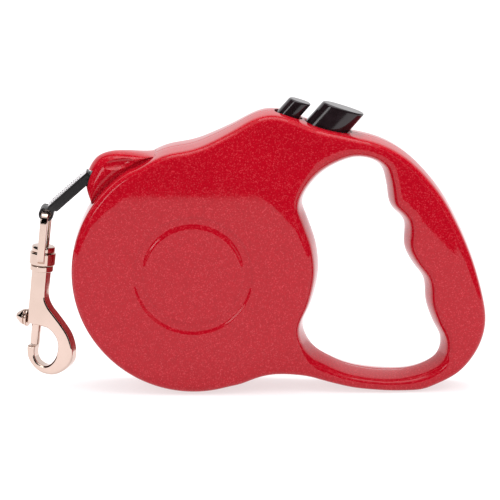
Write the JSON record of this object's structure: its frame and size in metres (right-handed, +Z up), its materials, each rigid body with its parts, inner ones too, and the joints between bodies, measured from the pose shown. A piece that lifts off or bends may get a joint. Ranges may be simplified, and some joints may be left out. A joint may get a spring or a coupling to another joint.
{
  "type": "retractable leash",
  "caption": "Hand-held retractable tape leash: a round reel case with a loop handle, press brake and lock buttons, spring-driven reel, and a swivel bolt snap at the end of the tape.",
  "frame": {"origin": "middle of the bottom of the whole leash's box, with the leash standing on its edge", "axes": "+Z up, +X from the snap towards the handle, -Y out of the front face"},
  "size_m": [0.1936, 0.032, 0.1202],
  "materials": {
    "shell_red": "glossy with fine metallic flake",
    "nozzle_red": "glossy",
    "button_black": "glossy",
    "acetal_grey": "satin",
    "reel_plastic": "satin",
    "tape_black": "woven",
    "rose_gold": "polished plating",
    "screw_steel": "zinc plated",
    "spindle_steel": "turned",
    "washer_steel": "stamped",
    "spring_steel": "blued strip and wire"
  },
  "bodies": {
    "case": {"front_shell": "shell_red", "rear_shell": "shell_red", "tape_nozzle": "nozzle_red", "case_screw_1": "screw_steel", "case_screw_2": "screw_steel", "case_screw_3": "screw_steel", "case_screw_4": "screw_steel", "axle_screw": "screw_steel", "spindle": "spindle_steel", "front_washer": "washer_steel", "rear_washer": "washer_steel", "tape_run": "tape_black", "brake_spring": "spring_steel", "lock_spring": "spring_steel"},
    "reel": {"reel_drum": "reel_plastic", "toothed_flange": "reel_plastic", "spring_cover": "reel_plastic", "mainspring": "spring_steel", "tape_winding": "tape_black"},
    "tape": {"sewn_tape_end": "tape_black", "tape_loop": "tape_black"},
    "brake": {"brake_button": "button_black", "brake_plunger": "acetal_grey"},
    "lock": {"lock_button": "button_black", "lock_plunger": "acetal_grey"},
    "eye": {"swivel_eye": "rose_gold"},
    "snap": {"snap_body": "rose_gold", "swivel_rivet": "rose_gold", "bolt_spring": "spring_steel"},
    "bolt": {"snap_bolt": "rose_gold", "thumb_knob": "rose_gold"}
  },
  "joints": [
    {"name": "tape_payout", "type": "slide", "parent": "case", "child": "tape", "axis": [-0.749, 0, -0.6626], "range_m": [0, 5], "stiffness_N_per_m": 1, "springref_m": -3},
    {"name": "reel_spin", "type": "hinge", "parent": "case", "child": "reel", "pos_m": [-0.0233, 0, 0.0498], "axis": [0, -1, 0], "range_deg": [0, 8100]},
    {"name": "brake_press", "type": "slide", "parent": "case", "child": "brake", "axis": [-0.6626, 0, -0.749], "range_m": [0, 0.0035], "stiffness_N_per_m": 800, "springref_m": -0.004, "deforming": ["brake_spring"]},
    {"name": "lock_press", "type": "slide", "parent": "case", "child": "lock", "axis": [-0.6626, 0, -0.749], "range_m": [0, 0.0025], "stiffness_N_per_m": 600, "springref_m": -0.004, "deforming": ["lock_spring"]},
    {"name": "eye_swing", "type": "hinge", "parent": "tape", "child": "eye", "pos_m": [-0.08325, 0, 0.0728], "axis": [0.0434, 0.999, -0.0046], "range_deg": [-6, 100]},
    {"name": "swivel_spin", "type": "hinge", "parent": "eye", "child": "snap", "pos_m": [-0.08325, 0, 0.0728], "axis": [0.1045, 0, 0.9945], "continuous": true},
    {"name": "bolt_slide", "type": "slide", "parent": "snap", "child": "bolt", "axis": [0.1045, 0, 0.9945], "range_m": [0, 0.0084], "stiffness_N_per_m": 300, "springref_m": -0.006, "deforming": ["bolt_spring"]}
  ],
  "couplings": [
    {"joint": "reel_spin", "follows": "tape_payout", "rad_per_m": 28.274}
  ]
}
